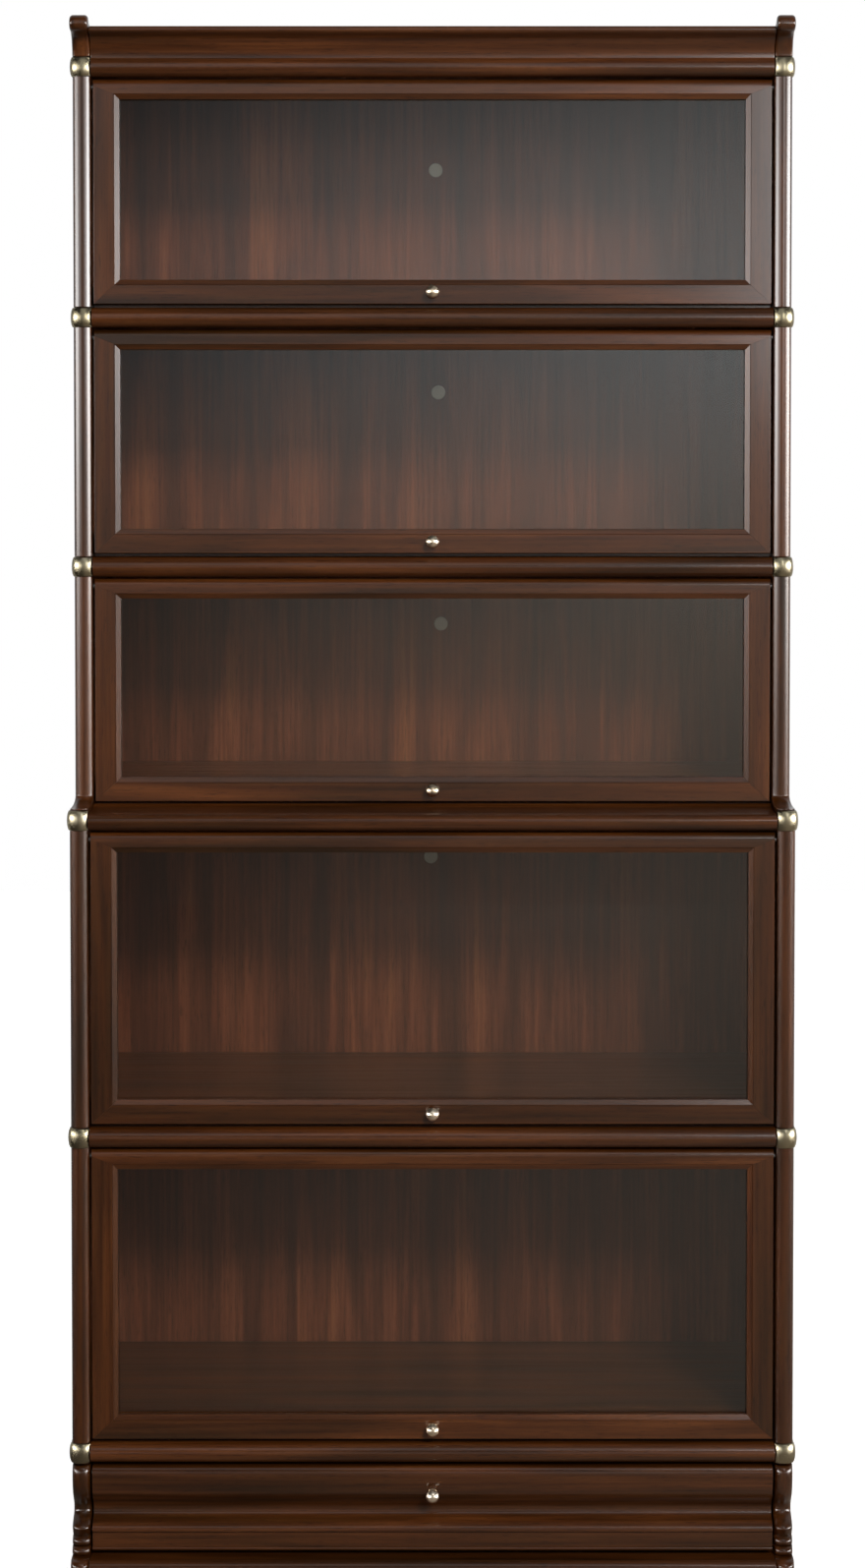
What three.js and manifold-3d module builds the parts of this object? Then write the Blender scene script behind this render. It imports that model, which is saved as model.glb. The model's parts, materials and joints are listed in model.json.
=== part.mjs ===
// A stacking bookcase: five glazed sections on a base with a drawer, under a moulded cornice.
// Each door swings up about a rod in its top rail, and the rod rolls back in grooves in the sides.
// Millimetres, +Z up, the front faces -Y, the origin is on the floor under the middle of the outline.

import * as THREE from "three";
import { mergeVertices } from "three/addons/utils/BufferGeometryUtils.js";
import Module from "manifold-3d";

// Carcass
const BODY_WIDTH = 864;
const UPPER_DEPTH = 285;
const LOWER_DEPTH = 345;
const PLINTH_REACH = 20;
const BASE_SEAM = 202;
const LOWER_PITCH = 380;
const UPPER_PITCH = 300;
const LOWER_COUNT = 2;
const UPPER_COUNT = 3;
const SIDE_THICKNESS = 22;
const SIDE_EDGE_DEPTH = 8;
const BACK_THICKNESS = 8;
const BACK_REBATE = 9;

// Shelf boards, whose front rail ends in a half-round nosing at the seam between two sections
const NOSING_HEIGHT = 24;
const NOSING_PROUD = 3;
const RAIL_LAP = 24;
const SLAB_THICKNESS = 20;
const FLOOR_RISE = 38;
const FLOOR_EDGE_RADIUS = 2;

// The cove that leads from the deep lower sections to the upper ones
const COVE_START_DROP = 4;
const COVE_TOP_DROP = 2;
const COVE_RISE = 12;
const COVE_TOE = 1.2;
const COVE_SETBACK = 6;

// Brass bands
const BAND_PROUD = 3.5;

// Doors
const DOOR_THICKNESS = 20;
const DOOR_SETBACK = 5;
const DOOR_TOP_GAP = 2.5;
const DOOR_BOTTOM_GAP = 3.5;
const DOOR_SIDE_GAP = 1.75;
const DOOR_STOP_GAP = 1;
const STILE_WIDTH = 32;
const TOP_RAIL = 24;
const BOTTOM_RAIL = 30;
const DOOR_TOP_RADIUS = 8;
const DOOR_EDGE_EASE = 1.5;
const BEAD_WIDTH = 6;
const BEAD_DEPTH = 3;
const GLASS_THICKNESS = 3;
const GLASS_SETBACK = 9;
const GLASS_GROOVE = 7;
const BACK_BEAD_DEPTH = 5;
const BACK_BEAD_EASE = 2;

// Rod and rollers on which a door turns and travels
const PIVOT_DROP = 9;
const ROD_RADIUS = 3;
const ROLLER_RADIUS = 4.5;
const ROLLER_WIDTH = 5;
const GROOVE_DEPTH = 7;

// Knobs
const KNOB_RADIUS = 8;
const KNOB_REACH = 18;
const KNOB_FOOT_RADIUS = 6;
const KNOB_FOOT_HEIGHT = 2.5;
const KNOB_NECK_RADIUS = 3.6;
const KNOB_BALL_HALF = 6.5;
const KNOB_SPIGOT_RADIUS = 2.5;
const KNOB_SPIGOT_LENGTH = 8;
const KNOB_NOSING_GAP = 3;

// Cornice
const FRIEZE_RISE = 46;
const FRIEZE_REACH = 18;
const FRIEZE_SETBACK = 2;
const FRIEZE_THICKNESS = 22;
const TOP_THICKNESS = 18;
const BRACKET_RISE = 58;
const BRACKET_REACH = 30;
const BRACKET_SCROLL_RADIUS = 10;
const BRACKET_BACK_RISE = 50;
const BRACKET_TOE = 2;
const BRACKET_SHOULDER = 16;
const SCROLL_END = Math.PI / 4;
const BRACKET_ROUNDING = 4;

// Base and drawer
const PLINTH_HEIGHT = 78;
const PLINTH_CURVE = 8;
const PLINTH_THICKNESS = 22;
const BEAD_RADIUS = 5.5;
const BEAD_PROUD = 3;
const OGEE_DEPTH = 18;
const OGEE_RISE = 32;
const OGEE_TOP_GAP = 4;
const DRAWER_GAP = 6;
const DRAWER_TOP_GAP = 3;
const DRAWER_SIDE_GAP = 2.5;
const FASCIA_SETBACK = 4;
const ARRIS_HEIGHT = 4;
const FILLET_RADIUS = 2.5;
const DRAWER_FRONT_THICKNESS = 42;
const DRAWER_WALL = 12;
const DRAWER_BOTTOM = 6;
const DRAWER_BOX_INSET = 14;
const DRAWER_BOX_DROP = 29;
const DRAWER_BACK_GAP = 12;
const DRAWER_KNOB_SHARE = 0.58;
const BASE_BOARD = 18;
const BASE_BACK_THICKNESS = 12;

// The curves of the ogee and of the frieze from the bottom up, each by its end and control points.
// The points are shares of the moulding's depth and height.
const OGEE_SHARES = [
  [[0, 0], [0, 0.03], [0.06, 0.05], [0.18, 0.075]],
  [[0.18, 0.075], [0.55, 0.15], [1, 0.16], [1, 0.25]],
  [[1, 0.25], [1, 0.32], [0.85, 0.365], [0.62, 0.425]],
  [[0.62, 0.425], [0.25, 0.52], [-0.03, 0.66], [-0.03, 0.84]],
  [[-0.03, 0.84], [-0.03, 0.95], [0.08, 1], [0.3, 1]],
];
const FRIEZE_SHARES = [
  [[0, 0], [0, 0.3], [0.2, 0.5], [0.5, 0.64]],
  [[0.5, 0.64], [0.74, 0.75], [1, 0.78], [1, 0.87]],
  [[1, 0.87], [1, 0.96], [0.9, 1], [0.74, 1]],
];

// Clearances and overrun
const SEAT = 0.3;
const RUNNING = 0.4;
const BORE_CLEAR = 0.3;
const OVERRUN = 5;

// Facets, and the distances under which two points are one
const EDGE_STEPS = 10;
const ARC_STEPS = 8;
const CURVE_STEPS = 12;
const ROUND_STEPS = 16;
const DOOR_ARC_STEPS = 5;
const SLOT_STEPS = 4;
const KNOB_STEPS = 3;
const BEVEL_STEPS = 3;
const SAME_POINT = 0.0001;
const LEAST_EDGE = 0.15;

// Places worked out from the sizes above
const NOSING_RADIUS = NOSING_HEIGHT / 2;
const INNER_HALF = BODY_WIDTH / 2 - SIDE_THICKNESS;
const BACK_Y = (LOWER_DEPTH + PLINTH_REACH) / 2;
const LOWER_FRONT = BACK_Y - LOWER_DEPTH;
const UPPER_FRONT = BACK_Y - UPPER_DEPTH;
const PLINTH_FRONT = LOWER_FRONT - PLINTH_REACH;
const BACK_FACE = BACK_Y - BACK_THICKNESS;
const PIVOT_INSET = DOOR_SETBACK + DOOR_THICKNESS / 2;
const ARRIS_Z = PLINTH_HEIGHT + OGEE_RISE;
const OGEE_HEIGHT = BASE_SEAM - NOSING_RADIUS - OGEE_TOP_GAP - ARRIS_Z;

const wasm = await Module();
wasm.setup();

const material = (color, roughness, metalness = 0) =>
  new THREE.MeshStandardMaterial({ color, roughness, metalness });
const MAHOGANY = material("#3a2418", 0.3);
const BACK_WOOD = material("#5a3828", 0.45);
const BRASS = material("#cdbb86", 0.25, 1);
const STEEL = material("#8a8c90", 0.35, 1);
const GLASS = material("#dfe8e6", 0.05);
GLASS.transparent = true;
GLASS.opacity = 0.25;

const bookcase = new THREE.Group();

// Sections are counted from the floor. Each knows its seams, its depth and its front.
function sectionList() {
  const list = [];
  let seam = BASE_SEAM;
  for (let i = 0; i < LOWER_COUNT + UPPER_COUNT; i += 1) {
    const lower = i < LOWER_COUNT;
    const pitch = lower ? LOWER_PITCH : UPPER_PITCH;
    list.push({
      name: "section_" + (i + 1),
      door: "door_" + (i + 1),
      seam,
      nextSeam: seam + pitch,
      front: lower ? LOWER_FRONT : UPPER_FRONT,
      frontBelow: i <= LOWER_COUNT ? LOWER_FRONT : UPPER_FRONT,
    });
    seam += pitch;
  }
  return list;
}

// Puts one geometry in the group as a named piece.
function add(name, geometry, look) {
  geometry.computeVertexNormals();
  const mesh = new THREE.Mesh(geometry, look);
  mesh.name = name;
  bookcase.add(mesh);
}

// A closed skin over rings of points that match one to one. Without loop, the end rings are capped.
function skin(rings, capOutline, loop = false) {
  const count = rings[0].length;
  const positions = rings.flat().flatMap((p) => [p.x, p.y, p.z]);
  const faces = [];
  const strips = loop ? rings.length : rings.length - 1;
  for (let i = 0; i < strips; i += 1) {
    const here = i * count;
    const next = ((i + 1) % rings.length) * count;
    for (let j = 0; j < count; j += 1) {
      const k = (j + 1) % count;
      faces.push([here + j, next + j, next + k], [here + j, next + k, here + k]);
    }
  }
  if (!loop) {
    const last = (rings.length - 1) * count;
    const forward = THREE.ShapeUtils.area(capOutline) > 0;
    for (const [a, b, c] of THREE.ShapeUtils.triangulateShape(capOutline, [])) {
      const cap = forward ? [a, b, c] : [a, c, b];
      faces.push(cap, [last + cap[0], last + cap[2], last + cap[1]]);
    }
  }
  const geometry = new THREE.BufferGeometry();
  geometry.setAttribute("position", new THREE.Float32BufferAttribute(positions, 3));
  geometry.setIndex(faces.flat());
  return facingOut(geometry);
}

// Turns every face round if the skin came out with its faces pointing in.
function facingOut(geometry) {
  const index = geometry.index.array;
  const at = (i) => new THREE.Vector3().fromBufferAttribute(geometry.attributes.position, index[i]);
  let volume = 0;
  for (let i = 0; i < index.length; i += 3) {
    volume += at(i).dot(at(i + 1).cross(at(i + 2)));
  }
  return volume < 0 ? reversed(geometry) : geometry;
}

function reversed(geometry) {
  const index = geometry.index.array;
  for (let i = 0; i < index.length; i += 3) {
    const kept = index[i];
    index[i] = index[i + 1];
    index[i + 1] = kept;
  }
  return geometry;
}

// The same piece for the other side of the bookcase.
const mirrored = (geometry) => reversed(geometry.clone().scale(-1, 1, 1));

function solid(geometry) {
  const bare = geometry.index ? geometry.toNonIndexed() : geometry.clone();
  bare.deleteAttribute("normal");
  bare.deleteAttribute("uv");
  const merged = mergeVertices(bare, SAME_POINT);
  return new wasm.Manifold(
    new wasm.Mesh({
      numProp: 3,
      vertProperties: merged.attributes.position.array,
      triVerts: new Uint32Array(merged.index.array),
    }),
  );
}

function geometryOf(made) {
  const mesh = made.getMesh();
  const geometry = new THREE.BufferGeometry();
  geometry.setAttribute("position", new THREE.BufferAttribute(mesh.vertProperties, 3));
  geometry.setIndex(new THREE.BufferAttribute(mesh.triVerts, 1));
  return geometry;
}

const cut = (body, ...tools) =>
  geometryOf(tools.reduce((left, tool) => left.subtract(solid(tool)), solid(body)));
const joined = (...pieces) =>
  geometryOf(pieces.slice(1).reduce((sum, piece) => sum.add(solid(piece)), solid(pieces[0])));

// A box between two corners.
function block([x0, x1], [y0, y1], [z0, z1]) {
  const geometry = new THREE.BoxGeometry(x1 - x0, y1 - y0, z1 - z0);
  return geometry.translate((x0 + x1) / 2, (y0 + y1) / 2, (z0 + z1) / 2);
}

// Turns an extrusion of an outline in (y, z) so that it runs along x.
const ACROSS = new THREE.Matrix4().makeBasis(
  new THREE.Vector3(0, 1, 0),
  new THREE.Vector3(0, 0, 1),
  new THREE.Vector3(1, 0, 0),
);

function drawnAcross(shape, [x0, x1], steps = ARC_STEPS) {
  const options = { depth: x1 - x0, bevelEnabled: false, curveSegments: steps };
  return new THREE.ExtrudeGeometry(shape, options).applyMatrix4(ACROSS).translate(x0, 0, 0);
}

// The points of a closed shape without neighbours that coincide.
function distinct(shape, steps) {
  const list = shape.getPoints(steps);
  return list.filter((p, i) => p.distanceTo(list.at(i - 1)) > LEAST_EDGE);
}

// The same outline moved inwards by a distance, corner by corner.
function inset(outline, distance) {
  const turn = THREE.ShapeUtils.area(outline) > 0 ? 1 : -1;
  return outline.map((p, i) => {
    const before = p.clone().sub(outline.at(i - 1)).normalize();
    const after = outline[(i + 1) % outline.length].clone().sub(p).normalize();
    const inward = new THREE.Vector2(-before.y - after.y, before.x + after.x).multiplyScalar(turn);
    return p.clone().addScaledVector(inward, distance / (1 + before.dot(after)));
  });
}

// An outline in (y, z) drawn out along x, with both rims rounded over.
function roundedSlab(shape, [x0, x1], radius) {
  const outline = distinct(shape, SLOT_STEPS);
  const rims = [];
  for (let i = 0; i <= BEVEL_STEPS; i += 1) {
    const turn = (Math.PI / 2) * (i / BEVEL_STEPS);
    rims.push({ depth: radius * (1 - Math.sin(turn)), fall: radius * (1 - Math.cos(turn)) });
  }
  const ring = (x, fall) => inset(outline, fall).map((p) => new THREE.Vector3(x, p.x, p.y));
  const near = rims.map(({ depth, fall }) => ring(x0 + depth, fall)).reverse();
  const far = rims.map(({ depth, fall }) => ring(x1 - depth, fall));
  return skin([...near, ...far], inset(outline, radius));
}

// A rod along x.
function rodAcross(radius, [x0, x1], y, z) {
  const geometry = new THREE.CylinderGeometry(radius, radius, x1 - x0, ROUND_STEPS);
  return geometry.rotateZ(Math.PI / 2).translate((x0 + x1) / 2, y, z);
}

// How far the rounded front edge of a side panel falls back at a share of its half thickness.
const edgeInset = (share) => SIDE_EDGE_DEPTH * (1 - Math.sqrt(1 - share * share));

// A left side panel whose front outline, a list of [y, z] from the bottom up, is rounded over.
function sidePanel(frontOutline) {
  const bottom = frontOutline[0][1];
  const top = frontOutline.at(-1)[1];
  const back = [[BACK_Y, top], [BACK_Y, bottom]];
  const middle = -BODY_WIDTH / 2 + SIDE_THICKNESS / 2;
  const rings = [];
  for (let i = 0; i <= EDGE_STEPS; i += 1) {
    const share = -Math.cos((Math.PI * i) / EDGE_STEPS);
    const x = middle + (share * SIDE_THICKNESS) / 2;
    const front = frontOutline.map(([y, z]) => new THREE.Vector3(x, y + edgeInset(share), z));
    rings.push([...front, ...back.map(([y, z]) => new THREE.Vector3(x, y, z))]);
  }
  return skin(rings, [...frontOutline, ...back].map(([y, z]) => new THREE.Vector2(y, z)));
}

// Points of a curve as [y, z] pairs.
const points = (curve, steps = CURVE_STEPS) => curve.getPoints(steps).map((p) => [p.x, p.y]);

// The slot in a side panel in which the roller of a door rod travels.
function rollerGroove(pivotY, pivotZ, travel) {
  const half = ROLLER_RADIUS + RUNNING;
  const slot = new THREE.Shape();
  slot.absarc(pivotY, pivotZ, half, Math.PI / 2, (3 * Math.PI) / 2);
  slot.absarc(pivotY + travel, pivotZ, half, -Math.PI / 2, Math.PI / 2);
  return drawnAcross(slot, [-INNER_HALF - GROOVE_DEPTH, -INNER_HALF + OVERRUN], SLOT_STEPS);
}

// The front of a side panel where a section stands on a deeper one: it sweeps out in a cove.
function covedFront(section, bottom, top) {
  const toe = section.frontBelow + COVE_SETBACK;
  const cove = new THREE.QuadraticBezierCurve(
    new THREE.Vector2(toe, bottom + COVE_TOE),
    new THREE.Vector2(section.front - COVE_TOE, bottom + COVE_TOE),
    new THREE.Vector2(section.front, bottom + COVE_RISE),
  );
  return [[toe, bottom], ...points(cove), [section.front, top]];
}

function doorOf(section) {
  const bottom = section.seam + NOSING_RADIUS + DOOR_BOTTOM_GAP;
  const top = section.nextSeam - NOSING_RADIUS - DOOR_TOP_GAP;
  const knobZ = bottom + BOTTOM_RAIL / 2;
  const pivotZ = top - PIVOT_DROP;
  const knobRoom = KNOB_RADIUS + PIVOT_INSET + NOSING_PROUD + KNOB_NOSING_GAP;
  return {
    bottom,
    top,
    knobZ,
    pivotZ,
    half: INNER_HALF - DOOR_SIDE_GAP,
    face: section.front + DOOR_SETBACK,
    pivotY: section.front + PIVOT_INSET,
    travel: pivotZ - knobZ - knobRoom,
  };
}

function sectionSides(section) {
  const door = doorOf(section);
  const bottom = section.seam + NOSING_RADIUS + SEAT;
  const top = section.nextSeam + NOSING_RADIUS;
  const deeperBelow = section.frontBelow !== section.front;
  const front = deeperBelow
    ? covedFront(section, bottom, top)
    : [[section.front, bottom], [section.front, top]];
  const rebate = block(
    [-INNER_HALF - BACK_REBATE, -INNER_HALF + OVERRUN],
    [BACK_FACE - SEAT, BACK_Y + OVERRUN],
    [bottom - OVERRUN, top + OVERRUN],
  );
  const groove = rollerGroove(door.pivotY, door.pivotZ, door.travel);
  const left = cut(sidePanel(front), rebate, groove);
  add(section.name + "_left_side", left, MAHOGANY);
  add(section.name + "_right_side", mirrored(left), MAHOGANY);
}

function sectionBack(section) {
  const half = INNER_HALF + BACK_REBATE - SEAT;
  const bottom = section.seam + NOSING_RADIUS + SEAT;
  const top = section.nextSeam + NOSING_RADIUS;
  add(section.name + "_back_panel", block([-half, half], [BACK_FACE, BACK_Y], [bottom, top]), BACK_WOOD);
}

// The front of a shelf board's rail: a plain half round, or one that runs back into the cove.
function railFront(shape, section, stop) {
  const { seam, front, frontBelow } = section;
  const centre = frontBelow - NOSING_PROUD + NOSING_RADIUS;
  shape.moveTo(centre, seam - NOSING_RADIUS);
  if (front === frontBelow) {
    shape.absarc(centre, seam, NOSING_RADIUS, -Math.PI / 2, Math.PI / 2, true);
    shape.lineTo(stop, seam + NOSING_RADIUS);
    return;
  }
  const shoulder = NOSING_RADIUS - COVE_START_DROP;
  const coveTop = seam + NOSING_RADIUS + DOOR_BOTTOM_GAP - COVE_TOP_DROP;
  shape.absarc(centre, seam, NOSING_RADIUS, -Math.PI / 2, Math.PI, true);
  shape.absellipse(centre, seam, NOSING_RADIUS, shoulder, Math.PI, Math.PI / 2, true);
  shape.quadraticCurveTo(front, seam + shoulder, front + DOOR_SETBACK, coveTop);
  shape.lineTo(stop, coveTop);
}

function shelfBoard(section) {
  const { seam, front } = section;
  const stop = front + DOOR_SETBACK + DOOR_THICKNESS + DOOR_STOP_GAP;
  const floor = seam + FLOOR_RISE;
  const end = BACK_FACE - SEAT;
  const railBack = stop + RAIL_LAP;
  const edgeZ = floor - FLOOR_EDGE_RADIUS;
  const shape = new THREE.Shape();
  railFront(shape, section, stop);
  shape.lineTo(stop, edgeZ);
  shape.absarc(stop + FLOOR_EDGE_RADIUS, edgeZ, FLOOR_EDGE_RADIUS, Math.PI, Math.PI / 2, true);
  shape.lineTo(end, floor);
  shape.lineTo(end, floor - SLAB_THICKNESS);
  shape.lineTo(railBack, floor - SLAB_THICKNESS);
  shape.lineTo(railBack, seam - NOSING_RADIUS);
  shape.closePath();
  const half = INNER_HALF - SEAT;
  add(section.name + "_shelf_board", drawnAcross(shape, [-half, half]), MAHOGANY);
}

// One band: a half-round strip along the outside of a side panel that wraps round its front end.
function brassBand(name, seam, front) {
  const middle = -BODY_WIDTH / 2 + SIDE_THICKNESS / 2;
  const centreY = front + SIDE_EDGE_DEPTH;
  const path = [{ at: [-BODY_WIDTH / 2, BACK_Y], out: [-1, 0] }];
  for (let i = 0; i <= ROUND_STEPS / 2; i += 1) {
    const turn = Math.PI + (Math.PI * i) / (ROUND_STEPS / 2);
    const across = Math.cos(turn);
    const along = Math.sin(turn);
    const out = new THREE.Vector2(across * SIDE_EDGE_DEPTH, (along * SIDE_THICKNESS) / 2).normalize();
    const at = [middle + (across * SIDE_THICKNESS) / 2, centreY + along * SIDE_EDGE_DEPTH];
    path.push({ at, out: [out.x, out.y] });
  }
  const section = [];
  for (let i = 0; i <= ARC_STEPS; i += 1) {
    const turn = -Math.PI / 2 + (Math.PI * i) / ARC_STEPS;
    section.push([SEAT + (BAND_PROUD - SEAT) * Math.cos(turn), seam + NOSING_RADIUS * Math.sin(turn)]);
  }
  const rings = path.map(({ at, out }) =>
    section.map(([o, z]) => new THREE.Vector3(at[0] + out[0] * o, at[1] + out[1] * o, z)),
  );
  const strip = skin(rings, section.map(([o, z]) => new THREE.Vector2(o, z)));
  const beyond = block(
    [-INNER_HALF, -INNER_HALF + SIDE_THICKNESS],
    [front - SIDE_THICKNESS, front + SIDE_THICKNESS],
    [seam - NOSING_HEIGHT, seam + NOSING_HEIGHT],
  );
  const left = cut(strip, beyond);
  add(name + "_left_band", left, BRASS);
  add(name + "_right_band", mirrored(left), BRASS);
}

// The four corners of a rectangle in the plane y, given as [x0, x1] and [z0, z1].
function corners([x0, x1], [z0, z1], y) {
  return [
    new THREE.Vector3(x0, y, z0),
    new THREE.Vector3(x1, y, z0),
    new THREE.Vector3(x1, y, z1),
    new THREE.Vector3(x0, y, z1),
  ];
}

// The sight opening of a door, grown by a margin on every side.
function sight(door, margin = 0) {
  const x = door.half - STILE_WIDTH + margin;
  return [[-x, x], [door.bottom + BOTTOM_RAIL - margin, door.top - TOP_RAIL + margin]];
}

// A mitred frame: eased outer edges, a rounded bead round the glass and a groove that holds it.
function doorFrame(section) {
  const door = doorOf(section);
  const { face, half, bottom, top } = door;
  const back = face + DOOR_THICKNESS;
  const rings = [corners([-half, half], [bottom, top], back)];
  for (let i = 0; i <= DOOR_ARC_STEPS; i += 1) {
    const turn = (Math.PI / 2) * (i / DOOR_ARC_STEPS);
    const fall = 1 - Math.cos(turn);
    const ease = DOOR_EDGE_EASE * fall;
    const y = face + DOOR_TOP_RADIUS * (1 - Math.sin(turn));
    const z = [bottom + ease, top - DOOR_TOP_RADIUS * fall];
    rings.push(corners([-half + ease, half - ease], z, y));
  }
  for (let i = 0; i <= DOOR_ARC_STEPS; i += 1) {
    const turn = (Math.PI / 2) * (i / DOOR_ARC_STEPS);
    const margin = BEAD_WIDTH * Math.cos(turn);
    rings.push(corners(...sight(door, margin), face + BEAD_DEPTH * Math.sin(turn)));
  }
  const glassFront = face + GLASS_SETBACK;
  const glassBack = glassFront + GLASS_THICKNESS + 2 * SEAT;
  rings.push(corners(...sight(door), glassFront));
  rings.push(corners(...sight(door, GLASS_GROOVE), glassFront));
  rings.push(corners(...sight(door, GLASS_GROOVE), glassBack));
  rings.push(corners(...sight(door), glassBack));
  rings.push(corners(...sight(door), glassBack + BACK_BEAD_DEPTH - BACK_BEAD_EASE));
  rings.push(corners(...sight(door, BACK_BEAD_EASE), back));
  const through = [-half - OVERRUN, half + OVERRUN];
  const bore = rodAcross(ROD_RADIUS + BORE_CLEAR, through, door.pivotY, door.pivotZ);
  const socket = knobSocket(face, door.knobZ);
  add(section.door + "_frame", cut(skin(rings, [], true), bore, socket), MAHOGANY);
}

function doorGlass(section) {
  const door = doorOf(section);
  const [x, z] = sight(door, GLASS_GROOVE - SEAT);
  const front = door.face + GLASS_SETBACK + SEAT;
  add(section.door + "_glass", block(x, [front, front + GLASS_THICKNESS], z), GLASS);
}

// A steel rod through the top rail, with a roller on each end that runs in its groove.
function doorRod(section) {
  const door = doorOf(section);
  const end = INNER_HALF + GROOVE_DEPTH - RUNNING;
  const roller = end - ROLLER_WIDTH;
  const profile = [
    [0, -end],
    [ROLLER_RADIUS, -end],
    [ROLLER_RADIUS, -roller],
    [ROD_RADIUS, -roller],
    [ROD_RADIUS, roller],
    [ROLLER_RADIUS, roller],
    [ROLLER_RADIUS, end],
    [0, end],
  ];
  const rod = new THREE.LatheGeometry(profile.map(([r, h]) => new THREE.Vector2(r, h)), ROUND_STEPS);
  rod.rotateZ(-Math.PI / 2).translate(0, door.pivotY, door.pivotZ);
  add(section.door + "_pivot_rod", rod, STEEL);
}

// The hole that a knob's spigot enters, behind a face at y.
function knobSocket(y, z) {
  const depth = KNOB_SPIGOT_LENGTH + SEAT;
  const radius = KNOB_SPIGOT_RADIUS + BORE_CLEAR;
  const hole = new THREE.CylinderGeometry(radius, radius, depth + OVERRUN, ROUND_STEPS / 2);
  return hole.translate(0, (depth - OVERRUN) / 2 + y, z);
}

// A turned brass knob: spigot, foot, neck and a flattened ball.
function knob(name, y, z) {
  const ballStart = -Math.acos(KNOB_NECK_RADIUS / KNOB_RADIUS);
  const outline = new THREE.Path();
  outline.moveTo(0, -KNOB_SPIGOT_LENGTH);
  outline.lineTo(KNOB_SPIGOT_RADIUS, -KNOB_SPIGOT_LENGTH);
  outline.lineTo(KNOB_SPIGOT_RADIUS, SEAT);
  outline.lineTo(KNOB_FOOT_RADIUS, SEAT);
  outline.quadraticCurveTo(KNOB_FOOT_RADIUS, KNOB_FOOT_HEIGHT, KNOB_NECK_RADIUS, KNOB_FOOT_HEIGHT);
  outline.absellipse(0, KNOB_REACH - KNOB_BALL_HALF, KNOB_RADIUS, KNOB_BALL_HALF, ballStart, Math.PI / 2);
  const made = new THREE.LatheGeometry(outline.getPoints(KNOB_STEPS), ROUND_STEPS);
  add(name, made.rotateX(Math.PI).translate(0, y, z), BRASS);
}

// The cornice's front board: a nosing, then a hollow that rolls out to a thick lip, and the top board.
function corniceFrieze(seam) {
  const centre = UPPER_FRONT - NOSING_PROUD + NOSING_RADIUS;
  const foot = seam + NOSING_RADIUS;
  const top = seam + FRIEZE_RISE;
  const start = UPPER_FRONT + FRIEZE_SETBACK;
  const turn = Math.acos((start - centre) / NOSING_RADIUS);
  const rise = NOSING_RADIUS * Math.sin(turn);
  const end = BACK_FACE - SEAT;
  const railBack = UPPER_FRONT + PIVOT_INSET + DOOR_THICKNESS / 2 + DOOR_STOP_GAP + RAIL_LAP;
  const shape = new THREE.Shape();
  shape.moveTo(centre, seam - NOSING_RADIUS);
  shape.absarc(centre, seam, NOSING_RADIUS, -Math.PI / 2, turn, true);
  moulding(FRIEZE_SHARES, [start, seam + rise], [UPPER_FRONT - FRIEZE_REACH, top])
    .slice(1)
    .forEach(([y, z]) => shape.lineTo(y, z));
  shape.lineTo(UPPER_FRONT - FRIEZE_REACH + FRIEZE_THICKNESS, top);
  shape.lineTo(centre + FRIEZE_THICKNESS, foot);
  shape.lineTo(end, foot);
  shape.lineTo(end, foot - TOP_THICKNESS);
  shape.lineTo(railBack, foot - TOP_THICKNESS);
  shape.lineTo(railBack, seam - NOSING_RADIUS);
  shape.closePath();
  const half = INNER_HALF - SEAT;
  add("cornice_frieze", drawnAcross(shape, [-half, half]), MAHOGANY);
}

// A bracket at each end of the frieze: a cavetto under a scroll, with a shoulder behind it.
function corniceBrackets(seam) {
  const foot = seam + NOSING_RADIUS + SEAT;
  const toe = UPPER_FRONT + BRACKET_TOE;
  const scrollY = UPPER_FRONT - BRACKET_REACH + BRACKET_SCROLL_RADIUS;
  const scrollZ = seam + BRACKET_RISE - BRACKET_SCROLL_RADIUS;
  const under = scrollZ - BRACKET_SCROLL_RADIUS;
  const low = seam + BRACKET_BACK_RISE;
  const shape = new THREE.Shape();
  shape.moveTo(toe, foot - 2 * BRACKET_ROUNDING);
  shape.quadraticCurveTo(toe, under, scrollY, under);
  shape.absarc(scrollY, scrollZ, BRACKET_SCROLL_RADIUS, -Math.PI / 2, SCROLL_END, true);
  const drop = scrollZ + BRACKET_SCROLL_RADIUS * Math.sin(SCROLL_END) - low;
  const bend = BRACKET_SCROLL_RADIUS * Math.cos(SCROLL_END) + drop * Math.tan(SCROLL_END);
  shape.quadraticCurveTo(scrollY + bend, low, scrollY + bend + BRACKET_SHOULDER, low);
  shape.lineTo(BACK_Y, low);
  shape.lineTo(BACK_Y, foot - 2 * BRACKET_ROUNDING);
  shape.closePath();
  const placed = roundedSlab(shape, [-BODY_WIDTH / 2, -INNER_HALF], BRACKET_ROUNDING);
  const below = block([-BODY_WIDTH, 0], [-BODY_WIDTH, BODY_WIDTH], [0, foot]);
  const left = cut(placed, below);
  add("cornice_left_bracket", left, MAHOGANY);
  add("cornice_right_bracket", mirrored(left), MAHOGANY);
}

// The points of a moulding between two corners of its outline, from its table of curves.
function moulding(shares, [y0, z0], [y1, z1]) {
  const path = new THREE.CurvePath();
  for (const curve of shares) {
    const at = curve.map(
      ([depthShare, heightShare]) =>
        new THREE.Vector2(y0 + (y1 - y0) * depthShare, z0 + (z1 - z0) * heightShare),
    );
    path.add(new THREE.CubicBezierCurve(...at));
  }
  return path.getPoints(ARC_STEPS).map((p) => [p.x, p.y]);
}

// The ogee of the drawer and of the base sides, from its arris at the bottom to its roll at the top.
function ogee() {
  const arris = [LOWER_FRONT, ARRIS_Z];
  return moulding(OGEE_SHARES, arris, [LOWER_FRONT + OGEE_DEPTH, ARRIS_Z + OGEE_HEIGHT]);
}

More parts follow.
